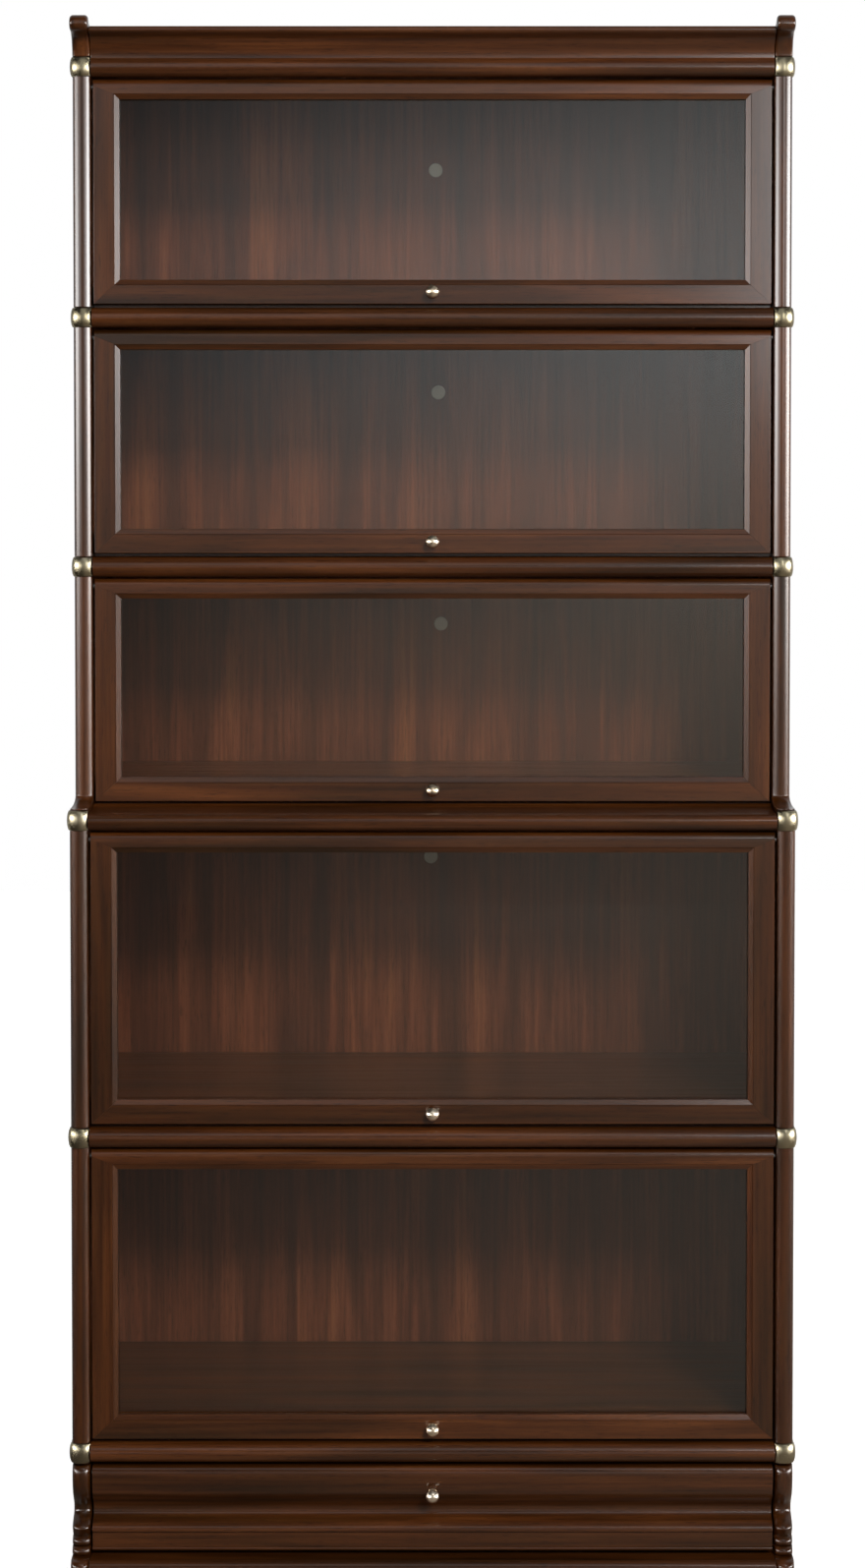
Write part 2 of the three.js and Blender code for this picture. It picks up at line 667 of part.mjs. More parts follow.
// Where an outline that rises from point to point stands at height z.
function frontAt(outline, z) {
  const i = outline.findIndex(([, height]) => height >= z);
  const [y0, z0] = outline[i - 1];
  const [y1, z1] = outline[i];
  return y0 + ((y1 - y0) * (z - z0)) / (z1 - z0);
}

// The moulded top of the plinth: a quarter round between two heights.
function plinthFront() {
  const shoulder = PLINTH_HEIGHT - PLINTH_CURVE;
  const curve = new THREE.EllipseCurve(
    PLINTH_FRONT + PLINTH_CURVE,
    shoulder,
    PLINTH_CURVE,
    PLINTH_CURVE,
    Math.PI,
    Math.PI / 2,
    true,
  );
  return [[PLINTH_FRONT, 0], ...points(curve, ARC_STEPS)];
}

// A bead on a base side, standing on the height given.
function bead(reach, bottom) {
  const centre = LOWER_FRONT - reach + BEAD_RADIUS;
  const curve = new THREE.EllipseCurve(
    centre,
    bottom + BEAD_RADIUS,
    BEAD_RADIUS,
    BEAD_RADIUS,
    -Math.PI / 2,
    Math.PI / 2,
    true,
  );
  return points(curve, ARC_STEPS);
}

function baseSides() {
  const top = BASE_SEAM + NOSING_RADIUS;
  const lowerBead = PLINTH_HEIGHT;
  const upperBead = lowerBead + 2 * BEAD_RADIUS;
  const ogeeTop = BASE_SEAM - NOSING_RADIUS - OGEE_TOP_GAP;
  const front = [
    ...plinthFront(),
    ...bead(BEAD_PROUD, lowerBead),
    ...bead(0, upperBead),
    ...ogee(),
    [LOWER_FRONT + OGEE_DEPTH / 2, ogeeTop],
    [LOWER_FRONT, ogeeTop + OGEE_TOP_GAP],
    [LOWER_FRONT, top],
  ];
  const left = sidePanel(front);
  add("base_left_side", left, MAHOGANY);
  add("base_right_side", mirrored(left), MAHOGANY);
}

// The plinth in front, the board on which the drawer runs and the back board, as one frame.
function basePlinth() {
  const shape = new THREE.Shape();
  const front = plinthFront();
  shape.moveTo(...front[0]);
  front.slice(1).forEach(([y, z]) => shape.lineTo(y, z));
  const backInner = BACK_Y - BASE_BACK_THICKNESS;
  const boardBottom = PLINTH_HEIGHT - BASE_BOARD;
  const plinthBack = PLINTH_FRONT + PLINTH_THICKNESS;
  shape.lineTo(backInner, PLINTH_HEIGHT);
  shape.lineTo(backInner, BASE_SEAM + NOSING_RADIUS);
  shape.lineTo(BACK_Y, BASE_SEAM + NOSING_RADIUS);
  shape.lineTo(BACK_Y, 0);
  shape.lineTo(backInner, 0);
  shape.lineTo(backInner, boardBottom);
  shape.lineTo(plinthBack, boardBottom);
  shape.lineTo(plinthBack, 0);
  shape.closePath();
  const half = INNER_HALF - SEAT;
  add("base_plinth_frame", drawnAcross(shape, [-half, half]), MAHOGANY);
}

function drawer() {
  const bottom = PLINTH_HEIGHT + DRAWER_GAP;
  const top = BASE_SEAM - NOSING_RADIUS - DRAWER_TOP_GAP;
  const back = LOWER_FRONT + DRAWER_FRONT_THICKNESS;
  const fascia = LOWER_FRONT + FASCIA_SETBACK;
  const curve = ogee();
  const shape = new THREE.Shape();
  shape.moveTo(fascia, bottom);
  shape.absarc(fascia, bottom + FILLET_RADIUS, FILLET_RADIUS, -Math.PI / 2, Math.PI / 2, true);
  shape.lineTo(fascia, ARRIS_Z - ARRIS_HEIGHT);
  shape.lineTo(LOWER_FRONT, ARRIS_Z - ARRIS_HEIGHT / 2);
  curve.forEach(([y, z]) => shape.lineTo(y, Math.min(z, top)));
  shape.lineTo(back, top);
  shape.lineTo(back, bottom);
  shape.closePath();
  const half = INNER_HALF - DRAWER_SIDE_GAP;
  const frontPiece = drawnAcross(shape, [-half, half]);
  const outer = half - DRAWER_BOX_INSET;
  const inner = outer - DRAWER_WALL;
  const boxEnd = BACK_Y - BASE_BACK_THICKNESS - DRAWER_BACK_GAP;
  const run = [back - OVERRUN, boxEnd];
  const low = PLINTH_HEIGHT + SEAT;
  const rise = [low, top - DRAWER_BOX_DROP];
  const knobZ = ARRIS_Z + OGEE_HEIGHT * DRAWER_KNOB_SHARE;
  const footEnds = [knobZ - KNOB_FOOT_RADIUS, knobZ + KNOB_FOOT_RADIUS];
  const knobY = Math.min(...footEnds.map((z) => frontAt(curve, z)));
  const made = joined(
    frontPiece,
    block([-outer, -inner], run, rise),
    block([inner, outer], run, rise),
    block([-outer, outer], [boxEnd - DRAWER_WALL, boxEnd], rise),
    block([-outer, outer], run, [low, low + DRAWER_BOTTOM]),
  );
  add("drawer", cut(made, knobSocket(knobY, knobZ)), MAHOGANY);
  knob("drawer_knob", knobY, knobZ);
}

function base() {
  baseSides();
  basePlinth();
  drawer();
  brassBand("base", BASE_SEAM, LOWER_FRONT);
}

function sections() {
  for (const section of sectionList()) {
    const door = doorOf(section);
    sectionSides(section);
    sectionBack(section);
    shelfBoard(section);
    brassBand(section.name, section.nextSeam, section.front);
    doorFrame(section);
    doorGlass(section);
    doorRod(section);
    knob(section.door + "_knob", door.face, door.knobZ);
  }
}

function cornice() {
  const seam = sectionList().at(-1).nextSeam;
  corniceFrieze(seam);
  corniceBrackets(seam);
}

base();
sections();
cornice();

export default bookcase;
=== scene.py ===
import json
import math

import bmesh
import bpy
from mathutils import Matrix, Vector


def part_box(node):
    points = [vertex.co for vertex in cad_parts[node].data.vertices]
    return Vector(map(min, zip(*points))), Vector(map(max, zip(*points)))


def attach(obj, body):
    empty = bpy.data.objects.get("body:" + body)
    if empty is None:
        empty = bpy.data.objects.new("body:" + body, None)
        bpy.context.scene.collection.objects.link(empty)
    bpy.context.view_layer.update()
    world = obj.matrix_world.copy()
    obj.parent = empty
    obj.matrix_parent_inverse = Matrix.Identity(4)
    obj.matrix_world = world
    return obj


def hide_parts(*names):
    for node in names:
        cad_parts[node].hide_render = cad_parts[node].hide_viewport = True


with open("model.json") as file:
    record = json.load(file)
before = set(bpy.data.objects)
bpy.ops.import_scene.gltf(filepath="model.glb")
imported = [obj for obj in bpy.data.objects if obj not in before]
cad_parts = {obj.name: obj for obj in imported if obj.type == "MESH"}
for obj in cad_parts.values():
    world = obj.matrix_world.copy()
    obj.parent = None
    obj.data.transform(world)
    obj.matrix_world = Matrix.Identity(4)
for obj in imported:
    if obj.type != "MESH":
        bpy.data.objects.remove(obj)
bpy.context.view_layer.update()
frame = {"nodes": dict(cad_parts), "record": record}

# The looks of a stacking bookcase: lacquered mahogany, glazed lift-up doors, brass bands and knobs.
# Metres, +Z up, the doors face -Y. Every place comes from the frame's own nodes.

NODES = frame["nodes"]
BODY_OF = {node: body for body, nodes in frame["record"]["behaviour"]["bodies"].items() for node in nodes}
SECTIONS = range(1, 6)

# Sizes and limits of the finish, in metres
EDGE_ROUND = 0.0008
SAME_POINT = 0.00001
FLAT_TURN = math.radians(1)
SHARP_TURN = math.radians(32)
BOARD_NUMBERS = 997
BOARDS_APART = 0.37
MITRE_GAP = 0.0001
TURNED_STEPS = 48
CAP_RADIUS = 0.009
CAP_HEIGHT = 0.0016
CAP_ROUND = 0.7
CAP_STEPS = 5
CAP_DROP = 0.098
CAP_OFF = {1: (0, 0), 2: (-0.002, 0), 3: (0.011, 0.003), 4: (0.0075, 0.002), 5: (0.004, -0.012)}
DRAWER_FRONT = 0.043

# The screws that hold the back panels, in metres, and how they are spread over a panel
SCREW_RADIUS = 0.0032
SCREW_TIP = 0.0015
SCREW_DEPTH = 0.0018
SCREW_SUNK = 0.0003
SCREW_STEPS = 32
SINK_RADIUS = 0.0036
SINK_DEPTH = 0.0024
SLOT_SIZE = (3 * SCREW_RADIUS, 0.0009, 0.00126)
SCREW_INSET = 0.0048
SCREW_RISE = 0.012
SCREW_PITCH = 0.11
SCREWS_ACROSS = 5
FOOT_ROW_WIDTH = 2 / 3

# The profile of a knob, as parts of its radius, its clearance in metres and the steps of its two curves
KNOB_REACH = 2.25
KNOB_SPIGOT = 0.3
KNOB_FOOT = 0.75
KNOB_FOOT_DEPTH = 0.12
KNOB_NECK = 0.45
KNOB_NECK_HALF = 0.19
KNOB_BALL_HALF = 0.81
KNOB_CLEARANCE = 0.0003
KNOB_NECK_STEPS = 6
KNOB_BALL_STEPS = 16

# The section of a door's frame, in metres
STILE_WIDTH = 0.032
TOP_RAIL = 0.024
BOTTOM_RAIL = 0.030
TOP_RADIUS = 0.008
EDGE_EASE = 0.0015
BEAD_WIDTH = 0.006
BEAD_DEPTH = 0.0022
BEAD_EASE = 0.0008
QUIRK = 0.0006
GLASS_FRONT = 0.009
GLASS_BACK = 0.0126
GROOVE = 0.007
BACK_BEAD = 0.003
BACK_SPLAY = 0.002
BACK_EASE = 0.001
FRAME_STEPS = 8

# The camera, by the places of the seams, knobs and edges in the photograph
CAMERA_PLACE = (0, -3.763, 1.391)
CAMERA_PITCH = math.radians(2)
CAMERA_LENS = 69.83
CAMERA_SENSOR = 36
CAMERA_SHIFT = -0.139

# The room that the lacquer and the glass mirror, by the direction in which a mirrored ray goes off: X to the
# right, Z upwards. Each pair of directions is where a brightness starts to change and where it has changed.
ROOM_SIDES = (-0.10, 0.11)
ROOM_LEFT_TO_RIGHT = (0.26, 1.25)
ROOM_HEIGHT = (-0.13, 0.09)
ROOM_LOW_TO_HIGH = (0.36, 1.30)
CEILING = (0.05, 0.17)
ROOM_TO_CEILING = (1.0, 0.12)
ROOM_LOW_COLOUR = "#ffeedd"
ROOM_LOW_END = (-0.06, 0.03)

# The room's floor, in metres from the middle of the bookcase, and how much brighter it is far off
ROOM_FLOOR_SIDES = (-0.8, 0.6)
ROOM_FLOOR = (0.08, 0.36)
ROOM_FLOOR_FAR = (-6.0, -3.0)
FLOOR_FAR_OFF = 1.25
FLOOR_SIZE = 12
FLOOR_DROP = 0.0005

# A window on each side of the room, with a lighter wall next to its pane and a part of its glow left above
# its lintel. The right one is seen aslant, so its sill and lintel shift by a part of X.
RIGHT_WINDOW = 33
LEFT_WINDOW = 27
WINDOW_WALL = 0.25
WALL_FROM = (0.12, 0.4)
PANE_FROM = (0.56, 0.75)
WINDOW_TILT = 0.2
RIGHT_SILL = (0.115, 0.175)
RIGHT_LINTEL = (-0.035, 0.0)
RIGHT_ABOVE = 0.1
LEFT_SILL = (-0.05, 0.03)
LEFT_LINTEL = (0.055, 0.115)
LEFT_ABOVE = 0.3
WINDOWS_END = (0.12, 0.2)
WINDOWS_BEHIND = (-0.25, 0.0)

# The white backdrop: how bright it is mirrored, where it starts behind the bookcase, as a direction and on
# the floor in metres, and the glow of the white floor near by and far off
WHITE = (1, 1, 1, 1)
BACKDROP_MIRRORED = 0.45
BACKDROP_FROM = (-0.1, 0.2)
WHITE_FLOOR_FROM = (0.1, 0.4)
FLOOR_GLOW = (0.97, 1.0)
FLOOR_GLOW_REACH = (1.0, 3.0)

# The lamps: place, aim, size, power in watts, and whether the lacquer shows an image of them. The key lights
# the wood, the two with an image give soft highlights, and the side lamps go with the world's windows.
LAMPS = {
    "key": ((2.6, -7.4, 5.3), (0, 0, 1.0), (1.8, 1.4), 640, False),
    "ceiling": ((0, -2.9, 3.0), (0, 0, 1.0), (2.4, 1.8), 9, True),
    "right_lamp": ((0.94, -2.9, 1.95), (0.4, 0, 1.6), (0.5, 0.8), 8, True),
    "right_window": ((2.0, -3.1, 1.95), (0, 0, 1.6), (0.9, 0.9), 12, False),
    "left_window": ((-1.75, -3.3, 2.0), (0, 0, 1.2), (0.8, 1.2), 12, False),
}


def linear(hex_colour):
    """An sRGB hex colour as linear red, green, blue and alpha."""
    parts = [int(hex_colour[i : i + 2], 16) / 255 for i in (1, 3, 5)]
    return [c / 12.92 if c <= 0.04045 else ((c + 0.055) / 1.055) ** 2.4 for c in parts] + [1]


def in_use(sockets, key):
    """A socket by its name or number among those that the node's settings leave in use."""
    enabled = [socket for socket in sockets if socket.enabled]
    return enabled[key] if isinstance(key, int) else next(s for s in enabled if s.name == key)


def add_node(tree, kind, inputs=(), output=0, **settings):
    """Adds a node and gives one of its outputs. Its inputs, by name or in order, are values or outputs."""
    node = tree.nodes.new(kind)
    for name, value in settings.items():
        setattr(node, name, value)
    for key, value in inputs.items() if isinstance(inputs, dict) else enumerate(inputs):
        socket = in_use(node.inputs, key)
        if isinstance(value, bpy.types.NodeSocket):
            tree.links.new(value, socket)
        else:
            socket.default_value = value
    return in_use(node.outputs, output) if node.outputs else None


def new_material(name):
    """An empty material and its tree."""
    material = bpy.data.materials.new(name)
    material.use_nodes = True
    material.node_tree.nodes.clear()
    return material, material.node_tree


def with_stops(colour, stops):
    """The output of a colour ramp after its (position, hex colour) stops are set."""
    elements = colour.node.color_ramp.elements
    while len(elements) < len(stops):
        elements.new(1)
    for element, (position, shade) in zip(elements, stops):
        element.position = position
        element.color = linear(shade)
    return colour


def stretched(tree, grain, across, along):
    """Object coordinates counted in grain widths, so that a pattern is drawn out along the grain."""
    place = add_node(tree, "ShaderNodeTexCoord", output="Object")
    scale = [1 / along if axis == grain else 1 / across for axis in "xyz"]
    return add_node(tree, "ShaderNodeMapping", {"Vector": place, "Scale": scale})


def grain_noise(tree, grain, across, along, detail=3, distortion=0.0):
    """Noise of one grain width, different on each board."""
    inputs = {
        "Vector": stretched(tree, grain, across, along),
        "W": add_node(tree, "ShaderNodeAttribute", output="Fac", attribute_name="board"),
        "Scale": 1.0,
        "Detail": detail,
        "Distortion": distortion,
    }
    return add_node(tree, "ShaderNodeTexNoise", inputs, noise_dimensions="4D")


def grained_wood(name, grain, figure_stops, streak_stops, shine):
    """Wood whose figure, streaks and pores run along one axis, under a coat of lacquer."""
    material, tree = new_material(name)
    figure = grain_noise(tree, grain, across=0.030, along=0.42, detail=4, distortion=0.6)
    streaks = grain_noise(tree, grain, across=0.0045, along=0.20, detail=3, distortion=0.2)
    pores = grain_noise(tree, grain, across=0.0011, along=0.016, detail=1)
    figured = with_stops(add_node(tree, "ShaderNodeValToRGB", [figure]), figure_stops)
    streaked = with_stops(add_node(tree, "ShaderNodeValToRGB", [streaks]), streak_stops)
    multiply = {"data_type": "RGBA", "blend_type": "MULTIPLY"}
    colour = add_node(tree, "ShaderNodeMix", [1.0, figured, streaked], **multiply)
    open_pores = add_node(tree, "ShaderNodeMapRange", [pores, 0.30, 0.42, 1.0, 0.0])
    dark_pores = add_node(tree, "ShaderNodeMath", [open_pores, 0.45], operation="MULTIPLY")
    colour = add_node(tree, "ShaderNodeMix", [dark_pores, colour, linear("#2a1810")], **multiply)
    uneven = {"Vector": stretched(tree, grain, across=0.05, along=0.2), "Scale": 1.0, "Detail": 1.0}
    low_waves = {"Height": add_node(tree, "ShaderNodeTexNoise", uneven), "Distance": 0.0006, "Strength": 0.5}
    lacquer = add_node(tree, "ShaderNodeBump", low_waves)
    pits = {"Height": open_pores, "Distance": 0.00006, "Strength": 0.6, "Normal": lacquer}
    dullest, glossiest = shine["roughness"] + 0.07, shine["roughness"] - 0.05
    inputs = {
        "Base Color": colour,
        "Roughness": add_node(tree, "ShaderNodeMapRange", [streaks, 0.3, 0.7, glossiest, dullest]),
        "IOR": 1.5,
        "Specular IOR Level": shine["specular"],
        "Normal": add_node(tree, "ShaderNodeBump", pits, invert=True),
        "Coat Weight": shine["coat"],
        "Coat Roughness": shine["coat_roughness"],
        "Coat IOR": 1.5,
        "Coat Normal": lacquer,
    }
    add_node(tree, "ShaderNodeOutputMaterial", [add_node(tree, "ShaderNodeBsdfPrincipled", inputs)])
    return material


# Stained mahogany under satin-gloss lacquer: near black between reddish streaks, long soft highlights.
MAHOGANY_FIGURE = [(0.30, "#281605"), (0.46, "#3e210a"), (0.58, "#4c290f"), (0.75, "#5e3517")]
MAHOGANY_STREAKS = [(0.28, "#b4a694"), (0.50, "#e2d8cc"), (0.72, "#ffffff")]
MAHOGANY_SHINE = {"roughness": 0.34, "specular": 0.12, "coat": 0.8, "coat_roughness": 0.19}

# The veneered back panels: the same stain, redder and with bolder upright stripes, rubbed less glossy.
BACK_FIGURE = [(0.28, "#3a1f13"), (0.45, "#512b1b"), (0.60, "#683a26"), (0.76, "#7c4a2e")]
BACK_STREAKS = [(0.25, "#b09e94"), (0.48, "#dccfc6"), (0.70, "#ffffff")]
BACK_SHINE = {"roughness": 0.55, "specular": 0.22, "coat": 0.0, "coat_roughness": 0.3}


def brass(name, stops):
    """Lacquered brass in the colours given: a soft metal mirror, in places a little duller."""
    material, tree = new_material(name)
    place = add_node(tree, "ShaderNodeTexCoord", output="Object")
    clouds = add_node(tree, "ShaderNodeTexNoise", {"Vector": place, "Scale": 22.0, "Detail": 0.5})
    inputs = {
        "Base Color": with_stops(add_node(tree, "ShaderNodeValToRGB", [clouds]), stops),
        "Metallic": 1.0,
        "Roughness": add_node(tree, "ShaderNodeMapRange", [clouds, 0.3, 0.7, 0.26, 0.29]),
    }
    add_node(tree, "ShaderNodeOutputMaterial", [add_node(tree, "ShaderNodeBsdfPrincipled", inputs)])
    return material


def drawn_steel():
    """Bright drawn steel, of the rods and the screws: a grey metal with fine lines round a rod."""
    material, tree = new_material("drawn_steel")
    place = add_node(tree, "ShaderNodeTexCoord", output="Object")
    lines = add_node(tree, "ShaderNodeMapping", {"Vector": place, "Scale": (2500.0, 20.0, 20.0)})
    noise = add_node(tree, "ShaderNodeTexNoise", {"Vector": lines, "Scale": 1.0})
    stops = [(0.3, "#85878a"), (0.7, "#a6a8aa")]
    inputs = {
        "Base Color": with_stops(add_node(tree, "ShaderNodeValToRGB", [noise]), stops),
        "Metallic": 1.0,
        "Roughness": add_node(tree, "ShaderNodeMapRange", [noise, 0.3, 0.7, 0.25, 0.4]),
    }
    add_node(tree, "ShaderNodeOutputMaterial", [add_node(tree, "ShaderNodeBsdfPrincipled", inputs)])
    return material


def float_glass():
    """Clear float glass, 3 mm: nearly colourless, sharp reflections. It lets lamps through to the shelf."""
    material, tree = new_material("float_glass")
    tint = linear("#f4f8f5")
    inputs = {"Base Color": tint, "Roughness": 0.0, "IOR": 1.5, "Transmission Weight": 1.0}
    glass = add_node(tree, "ShaderNodeBsdfPrincipled", inputs)
    open_air = add_node(tree, "ShaderNodeBsdfTransparent", [tint])
    path = add_node(tree, "ShaderNodeLightPath").node.outputs
    rays = [path["Is Shadow Ray"], path["Is Diffuse Ray"]]
    lamps = add_node(tree, "ShaderNodeMath", rays, operation="MAXIMUM")
    both = add_node(tree, "ShaderNodeMixShader", [lamps, glass, open_air])
    add_node(tree, "ShaderNodeOutputMaterial", [both])
    return material


def moulded_cap():
    """A moulded plastic cover cap, pale beige and matt."""
    material, tree = new_material("moulded_beige_plastic")
    place = add_node(tree, "ShaderNodeTexCoord", output="Object")
    noise = add_node(tree, "ShaderNodeTexNoise", {"Vector": place, "Scale": 700.0})
    stops = [(0.3, "#847c73"), (0.7, "#938b81")]
    colour = with_stops(add_node(tree, "ShaderNodeValToRGB", [noise]), stops)
    cap = add_node(tree, "ShaderNodeBsdfPrincipled", {"Base Color": colour, "Roughness": 0.5, "IOR": 1.53})
    add_node(tree, "ShaderNodeOutputMaterial", [cap])
    return material


WOOD_ALONG = {
    axis: grained_wood("mahogany_along_" + axis, axis, MAHOGANY_FIGURE, MAHOGANY_STREAKS, MAHOGANY_SHINE)
    for axis in "xz"
}
BACK_WOOD = grained_wood("mahogany_veneer_upright", "z", BACK_FIGURE, BACK_STREAKS, BACK_SHINE)
# The bands: a greenish grey-yellow brass, painted darker than the knobs as painted shade. The knobs: the same
# brass painted paler, a warm pale gold, as a painted sheen.
BAND_BRASS_PAINTED_DARKER = brass("brass_painted_darker", [(0.35, "#888069"), (0.55, "#948c75"), (0.7, "#9e9680")])
KNOB_BRASS_PAINTED_PALER = brass("brass_painted_paler", [(0.35, "#dcc8ac"), (0.55, "#e6d5bc"), (0.7, "#efe1cc")])
STEEL = drawn_steel()
GLASS = float_glass()
CAP = moulded_cap()

# The drawer's box: pale maple, planed and waxed, much lighter than the front.
BOX_FIGURE = [(0.30, "#a8845a"), (0.46, "#b8946a"), (0.58, "#c4a27a"), (0.75, "#d0b28c")]
BOX_STREAKS = [(0.28, "#e4dacb"), (0.50, "#f2ece4"), (0.72, "#ffffff")]
BOX_SHINE = {"roughness": 0.5, "specular": 0.3, "coat": 0.1, "coat_roughness": 0.3}
BOX_WOOD = grained_wood("maple_along_y", "y", BOX_FIGURE, BOX_STREAKS, BOX_SHINE)


def mesh_object(name, mesh, material):
    """A new object at the origin with one material."""
    made = bpy.data.objects.new(name, mesh)
    bpy.context.scene.collection.objects.link(made)
    mesh.materials.clear()
    mesh.materials.append(material)
    return made


def carried_out(piece):
    """The piece with what its modifiers make as its own mesh, and without them."""
    depsgraph = bpy.context.evaluated_depsgraph_get()
    mesh = bpy.data.meshes.new_from_object(
        piece.evaluated_get(depsgraph), preserve_all_data_layers=True, depsgraph=depsgraph
    )
    piece.modifiers.clear()
    piece.data = mesh
    return piece


def evenly_shaded(piece):
    """Lets the large faces set the shading, so that flats look flat right up to their rounded edges."""
    weighted = piece.modifiers.new("even_shading", "WEIGHTED_NORMAL")
    weighted.keep_sharp = True
    weighted.weight = 100
    return carried_out(piece)


def board_number(name):
    """A number from a piece's name, so that no two boards share one grain."""
    return (sum((i + 1) * ord(letter) for i, letter in enumerate(name)) % BOARD_NUMBERS) * BOARDS_APART


def finish_mesh(name, build, material, round_edges=0.0):
    """Smooths a built mesh, rounds its sharp edges and marks it as one board."""
    if round_edges:
        edges = [e for e in build.edges if len(e.link_faces) == 2 and e.calc_face_angle(0) > SHARP_TURN]
        bmesh.ops.bevel(
            build, geom=edges, offset=round_edges, segments=2, profile=0.5, affect="EDGES", clamp_overlap=True
        )
    for face in build.faces:
        face.smooth = True
    mesh = bpy.data.meshes.new(name)
    build.to_mesh(mesh)
    build.free()
    mesh.set_sharp_from_angle(angle=SHARP_TURN)
    board = mesh.attributes.new("board", "FLOAT", "POINT")
    board.data.foreach_set("value", [board_number(name)] * len(mesh.vertices))
    return evenly_shaded(mesh_object(name, mesh, material))


def place_on(piece, node):
    """The piece stands for a node and moves with that node's body."""
    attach(piece, BODY_OF[node])
    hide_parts(node)
    return piece


def merged(node):
    """A copy of a node's solid whose facets are joined into whole faces."""
    build = bmesh.new()
    build.from_mesh(NODES[node].data)
    bmesh.ops.remove_doubles(build, verts=build.verts, dist=SAME_POINT)
    bmesh.ops.dissolve_limit(build, angle_limit=FLAT_TURN, verts=build.verts, edges=build.edges)
    return build


def dressed(node, material, round_edges=EDGE_ROUND):
    """A node's solid with smooth curves and softened edges, in its finish."""
    return place_on(finish_mesh(node + "_finish", merged(node), material, round_edges), node)


def turned(name, profile, centre, material, body):
    """A turned piece: (radius, reach) points spun about an axis along -Y through the centre."""
    build = bmesh.new()
    x, y, z = centre
    turns = [2 * math.pi * i / TURNED_STEPS for i in range(TURNED_STEPS)]
    rings = []
    for radius, reach in profile:
        around = turns if radius else turns[:1]
        places = [(x + radius * math.cos(t), y - reach, z + radius * math.sin(t)) for t in around]
        rings.append([build.verts.new(place) for place in places])
    for low, high in zip(rings, rings[1:]):
        for i in range(TURNED_STEPS):
            j = (i + 1) % TURNED_STEPS
            corners = [low[i % len(low)], low[j % len(low)], high[j % len(high)], high[i % len(high)]]
            build.faces.new(list(dict.fromkeys(corners)))
    bmesh.ops.recalc_face_normals(build, faces=build.faces)
    piece = finish_mesh(name, build, material)
    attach(piece, body)
    return piece


def arc(centre, radii, start, end, steps):
    """Points of an elliptic arc, angles in degrees."""
    turns = [math.radians(start + (end - start) * i / steps) for i in range(steps + 1)]
    return [(centre[0] + radii[0] * math.cos(t), centre[1] + radii[1] * math.sin(t)) for t in turns]


def door_knob(node):
    """A turned brass knob with a flattened ball on a waisted neck."""
    low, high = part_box(node)
    radius = (high.x - low.x) / 2
    reach = radius * KNOB_REACH
    face = low.y + reach
    spigot, foot, neck = radius * KNOB_SPIGOT, radius * KNOB_FOOT, radius * KNOB_NECK
    foot_depth = radius * KNOB_FOOT_DEPTH
    neck_half, ball_half = radius * KNOB_NECK_HALF, radius * KNOB_BALL_HALF
    start = -math.degrees(math.acos(neck / radius))
    profile = [(0, face - high.y), (spigot, face - high.y), (spigot, KNOB_CLEARANCE)]
    profile += [(foot, KNOB_CLEARANCE), (foot, foot_depth)]
    profile += arc((foot, foot_depth + neck_half), (foot - neck, neck_half), -90, -180, KNOB_NECK_STEPS)
    profile += arc((0, reach - ball_half), (radius, ball_half), start, 90, KNOB_BALL_STEPS)[:-1]
    profile.append((0, reach))
    centre = ((low.x + high.x) / 2, face, (low.z + high.z) / 2)
    piece = turned(node + "_turned", profile, centre, KNOB_BRASS_PAINTED_PALER, BODY_OF[node])
    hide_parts(node)


# What the rules for screws are told about a panel: the places of its rows, how many screws go up and across,
# a fixed seed and the material
RULE_INPUTS = dict.fromkeys(("Left", "Right", "Low", "High", "First", "Last", "Foot", "Face"), "Float")
RULE_INPUTS.update(Up="Int", Across="Int", Seed="Int", Material="Material")


def rule(name):
    """An empty geometry tree with a panel's inputs by name."""
    tree = bpy.data.node_groups.new(name, "GeometryNodeTree")
    for way in ("INPUT", "OUTPUT"):
        tree.interface.new_socket("Geometry", in_out=way, socket_type="NodeSocketGeometry")
    for word, kind in RULE_INPUTS.items():
        tree.interface.new_socket(word, in_out="INPUT", socket_type="NodeSocket" + kind)
    return tree, tree.nodes.new("NodeGroupInput").outputs


def ruled(piece, tree, values, material):
    """Carries out a geometry tree on a piece and keeps its mesh."""
    modifier = piece.modifiers.new(tree.name, "NODES")
    modifier.node_group = tree
    given = dict(values, Material=material)
    for socket in tree.interface.items_tree:
        if socket.in_out == "INPUT" and socket.name in given:
            modifier[socket.identifier] = given[socket.name]
    carried_out(piece).data.set_sharp_from_angle(angle=SHARP_TURN)
    return evenly_shaded(piece)


def screw_places(tree, given):
    """Points up both edges of a panel and along its foot, each row between its first and last place."""
    rows = [(x, "Low", x, "High", "Up") for x in ("Left", "Right")]
    rows.append(("First", "Foot", "Last", "Foot", "Across"))
    joined = tree.nodes.new("GeometryNodeJoinGeometry")
    for x, z, last_x, last_z, count in rows:
        inputs = {
            "Start Location": add_node(tree, "ShaderNodeCombineXYZ", [given[x], given["Face"], given[z]]),
            "Offset": add_node(tree, "ShaderNodeCombineXYZ", [given[last_x], given["Face"], given[last_z]]),
            "Count": given[count],
        }
        tree.links.new(add_node(tree, "GeometryNodeMeshLine", inputs, mode="END_POINTS"), joined.inputs[0])
    return joined.outputs[0]


def set_in(tree, given, shape, depth, sunk, **turned_by):
    """A shape laid on its side at each place of a screw, with its top just under the panel's face."""
    moved = {"Translation": (0, -sunk - depth, 0), "Rotation": (-math.pi / 2, 0, 0)}
    laid = add_node(tree, "GeometryNodeTransform", {"Geometry": shape, **moved})
    inputs = {"Points": screw_places(tree, given), "Instance": laid, **turned_by}
    placed = add_node(tree, "GeometryNodeInstanceOnPoints", inputs)
    return add_node(tree, "GeometryNodeRealizeInstances", {"Geometry": placed})


def end_rule(tree, given, shape):
    """The tree's end: the shape in the material given."""
    done = add_node(tree, "GeometryNodeSetMaterial", {"Geometry": shape, "Material": given["Material"]})
    add_node(tree, "NodeGroupOutput", {"Geometry": done})
    return tree


